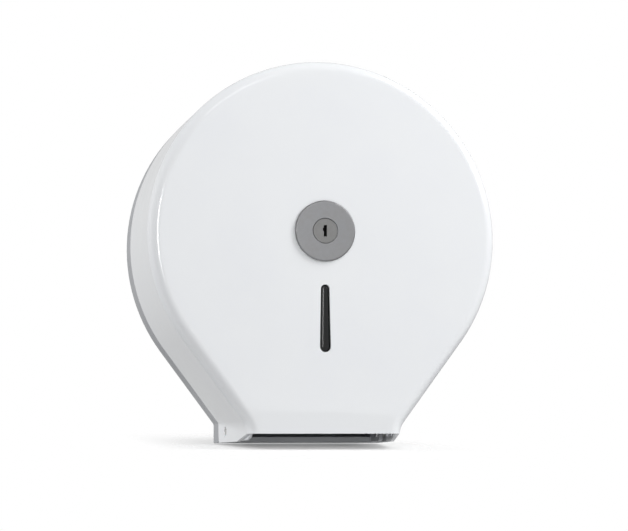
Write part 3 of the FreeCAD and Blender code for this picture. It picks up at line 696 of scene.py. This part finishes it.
def stage_floor():
    """Pale floor that meets the back's foot and falls gently away to the front, so that the
    low camera still looks down on it. The eye sees it as white, less the object's shadow, and
    it thins out to nothing a hand's breadth away, so that it doesn't hide an open cover. Lamp
    light from below comes up through a narrow gap in front of the sill, as the light that a
    table top throws back under the cover does."""
    fall = math.tan(math.radians(floor_fall))
    corners = np.array([[-1, -1], [1, -1], [1, 1], [-1, 1]]) * floor_half
    height = -foot_level * metre - floor_drop + corners[:, 1] * fall
    mesh = bpy.data.meshes.new("floor")
    mesh.from_pydata(np.column_stack([corners, height]).tolist(), [], [[0, 1, 2, 3]])
    floor = bpy.data.objects.new("floor", mesh)
    bpy.context.scene.collection.objects.link(floor)
    material, place = blank_finish("pale_floor")
    path = wire(material, "LightPath")
    parts = wire(material, "SeparateXYZ", {"Vector": place})
    across = wire(material, "Math", {0: parts.outputs["X"]}, operation="ABSOLUTE")
    forward = wire(material, "Math", {0: parts.outputs["Y"]}, operation="ABSOLUTE")
    below = wire(material, "NewGeometry").outputs["Backfacing"]
    shadow = path.outputs["Is Shadow Ray"]

    def times(first, second, operation="MULTIPLY"):
        """Product of two values, or what another operation makes of them."""
        return wire(material, "Math", {0: first, 1: second}, operation=operation).outputs[0]

    near_middle = times(spread(material, across.outputs[0], 1.0, 0.0, *fade_across),
                        spread(material, forward.outputs[0], 1.0, 0.0, *fade_forward))
    seen = times(near_middle, spread(material, path.outputs["Is Camera Ray"], bounce_share,
                                     floor_share, 0.0, 1.0))
    gap = wire(material, "Math", {0: parts.outputs["Y"], 1: -light_gap_middle,
                                  2: light_gap_half}, operation="COMPARE").outputs[0]
    solid = times(times(1.0, gap, "SUBTRACT"), 1.0 - lamp_share)
    thick = wire(material, "Mix", {"Factor": shadow, "A": seen, "B": solid}).outputs["Result"]
    thick = times(thick, times(1.0, below, "SUBTRACT"))
    clear = wire(material, "BsdfTransparent")
    matt = wire(material, "BsdfDiffuse", {"Color": floor_tint})
    shown = wire(material, "MixShader", {"Fac": thick})
    material.node_tree.links.new(clear.outputs[0], shown.inputs[1])
    material.node_tree.links.new(matt.outputs[0], shown.inputs[2])
    wire(material, "OutputMaterial", {"Surface": shown.outputs[0]})
    mesh.materials.append(material)


def studio_world():
    """White background to the eye, through glass and in gloss, and a soft even light on matt
    surfaces. Gloss that looks past the object to the backdrop sees it a little less lit."""
    world = bpy.data.worlds.new("studio")
    bpy.context.scene.world = world
    world.use_nodes = True
    world.node_tree.nodes.clear()
    path = wire(world, "LightPath")
    seen = wire(world, "Math", {0: path.outputs["Is Camera Ray"],
                                1: path.outputs["Is Transmission Ray"]}, operation="MAXIMUM")
    white = wire(world, "Math", {0: seen.outputs[0], 1: path.outputs["Is Glossy Ray"]},
                 operation="MAXIMUM")
    aim = wire(world, "SeparateXYZ", {"Vector": wire(world, "TexCoord").outputs["Generated"]})
    backdrop = spread(world, aim.outputs["Y"], 1.0, backdrop_gloss, backdrop_from, backdrop_to)
    level = wire(world, "Math", {0: backdrop, 1: seen.outputs[0]}, operation="MAXIMUM")
    soft = wire(world, "Background", {"Color": (1, 1, 1, 1), "Strength": soft_light})
    plain = wire(world, "Background", {"Color": (1, 1, 1, 1), "Strength": level.outputs[0]})
    pick = wire(world, "MixShader", {"Fac": white.outputs[0]})
    world.node_tree.links.new(soft.outputs[0], pick.inputs[1])
    world.node_tree.links.new(plain.outputs[0], pick.inputs[2])
    wire(world, "OutputWorld", {"Surface": pick.outputs[0]})


def lamp(name, place, target, width, height, power, mirrored=True):
    """Soft rectangular lamp at a place, aimed at a target, both in metres. One that isn't
    mirrored lights matt surfaces but leaves no highlight."""
    light = bpy.data.lights.new(name, "AREA")
    light.shape = "RECTANGLE"
    light.size, light.size_y, light.energy = width, height, power
    holder = bpy.data.objects.new(name, light)
    bpy.context.scene.collection.objects.link(holder)
    aim = Vector(target) - Vector(place)
    holder.rotation_mode = "QUATERNION"
    holder.rotation_quaternion = aim.to_track_quat("-Z", "Y")
    holder.location = place
    holder.visible_glossy = mirrored


def camera():
    """The photograph's viewpoint: low and to the left. Its axes come from its yaw, pitch and
    roll."""
    data = bpy.data.cameras.new("camera")
    data.sensor_width = sensor_width
    data.lens = lens_pixels / frame_pixels * sensor_width
    holder = bpy.data.objects.new("camera", data)
    bpy.context.scene.collection.objects.link(holder)
    level = math.cos(camera_pitch)
    ahead = Vector((math.sin(camera_yaw) * level, math.cos(camera_yaw) * level,
                    math.sin(camera_pitch)))
    right = Vector((math.cos(camera_yaw), -math.sin(camera_yaw), 0))
    above = right.cross(ahead)
    turned = right * math.cos(camera_roll) + above * math.sin(camera_roll)
    upright = above * math.cos(camera_roll) - right * math.sin(camera_roll)
    axes = Matrix((turned, upright, -ahead)).transposed()
    holder.matrix_world = Matrix.Translation(camera_place) @ axes.to_4x4()
    bpy.context.scene.camera = holder


stage_floor()
studio_world()
lamp("high_right", (1.074, -0.752, 0.918), aimed_at, 0.6, 1.2, 20.8)
lamp("left_window", (-1.69, 0.14, 0.48), aimed_at, 1.0, 1.0, 18.3, mirrored=False)
lamp("front_high", (-0.085, -1.616, 0.789), aimed_at, 0.42, 0.12, 2.0)
lamp("left_strip", (-0.402, -1.741, 0.219), aimed_at, 0.12, 0.3, 5.4)
lamp("floor_bounce", (0.0, -1.379, -1.157), aimed_at, 1.2, 0.8, 8.2, mirrored=False)
lamp("back_fill", (0.5, 1.7, 0.5), (0, 0, 0), 1.2, 1.2, 8.0, mirrored=False)
camera()
bpy.context.scene.view_settings.view_transform = "Standard"
